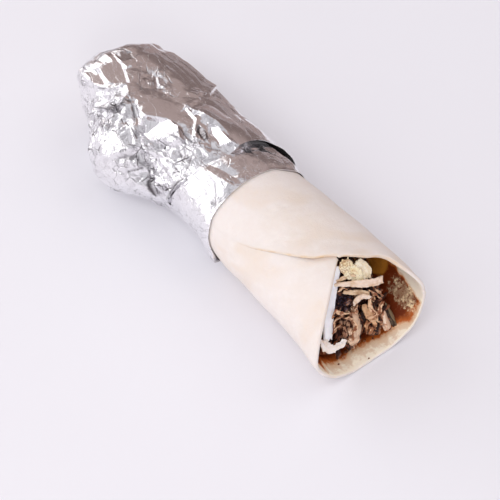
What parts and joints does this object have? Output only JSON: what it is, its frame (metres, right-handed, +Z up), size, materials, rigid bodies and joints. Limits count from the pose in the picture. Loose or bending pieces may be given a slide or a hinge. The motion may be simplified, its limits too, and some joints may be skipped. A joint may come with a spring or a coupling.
{
  "type": "durum wrap",
  "caption": "Flatbread wrap lying down: crossed flaps at its open end show torn meat and shredded cabbage, and crumpled foil covers its closed half.",
  "frame": {"origin": "Under the middle of the wrap, level with its flattened belly.", "axes": "+Y runs along the roll from the open mouth to the foil-covered closed end, +Z is up and +X points to the right of someone who looks into the mouth."},
  "size_m": [0.0946, 0.2524, 0.0604],
  "materials": {
    "bread": "matt, floury, with faint baking marks",
    "foil": "bright, crumpled",
    "cabbage_white": "moist",
    "cabbage_yellow": "moist",
    "cabbage_stained": "moist, stained by sauce",
    "meat_light": "moist, fibrous",
    "meat_brown": "moist, fibrous",
    "meat_burnt": "moist, charred",
    "pickle": "moist"
  },
  "bodies": {
    "root": {"flatbread": "bread", "foil_wrapper": "foil", "cabbage_rib": "cabbage_white", "cabbage_curl": "cabbage_white", "cabbage_leaf_1": "cabbage_yellow", "cabbage_leaf_2": "cabbage_yellow", "cabbage_strip_1": "cabbage_stained", "cabbage_strip_2": "cabbage_stained", "cabbage_strip_3": "cabbage_stained", "meat_piece_1": "meat_light", "meat_piece_2": "meat_brown", "meat_piece_3": "meat_burnt", "meat_strip_1": "meat_light", "pickle_strip": "pickle", "meat_filling": "meat_brown"}
  },
  "joints": []
}
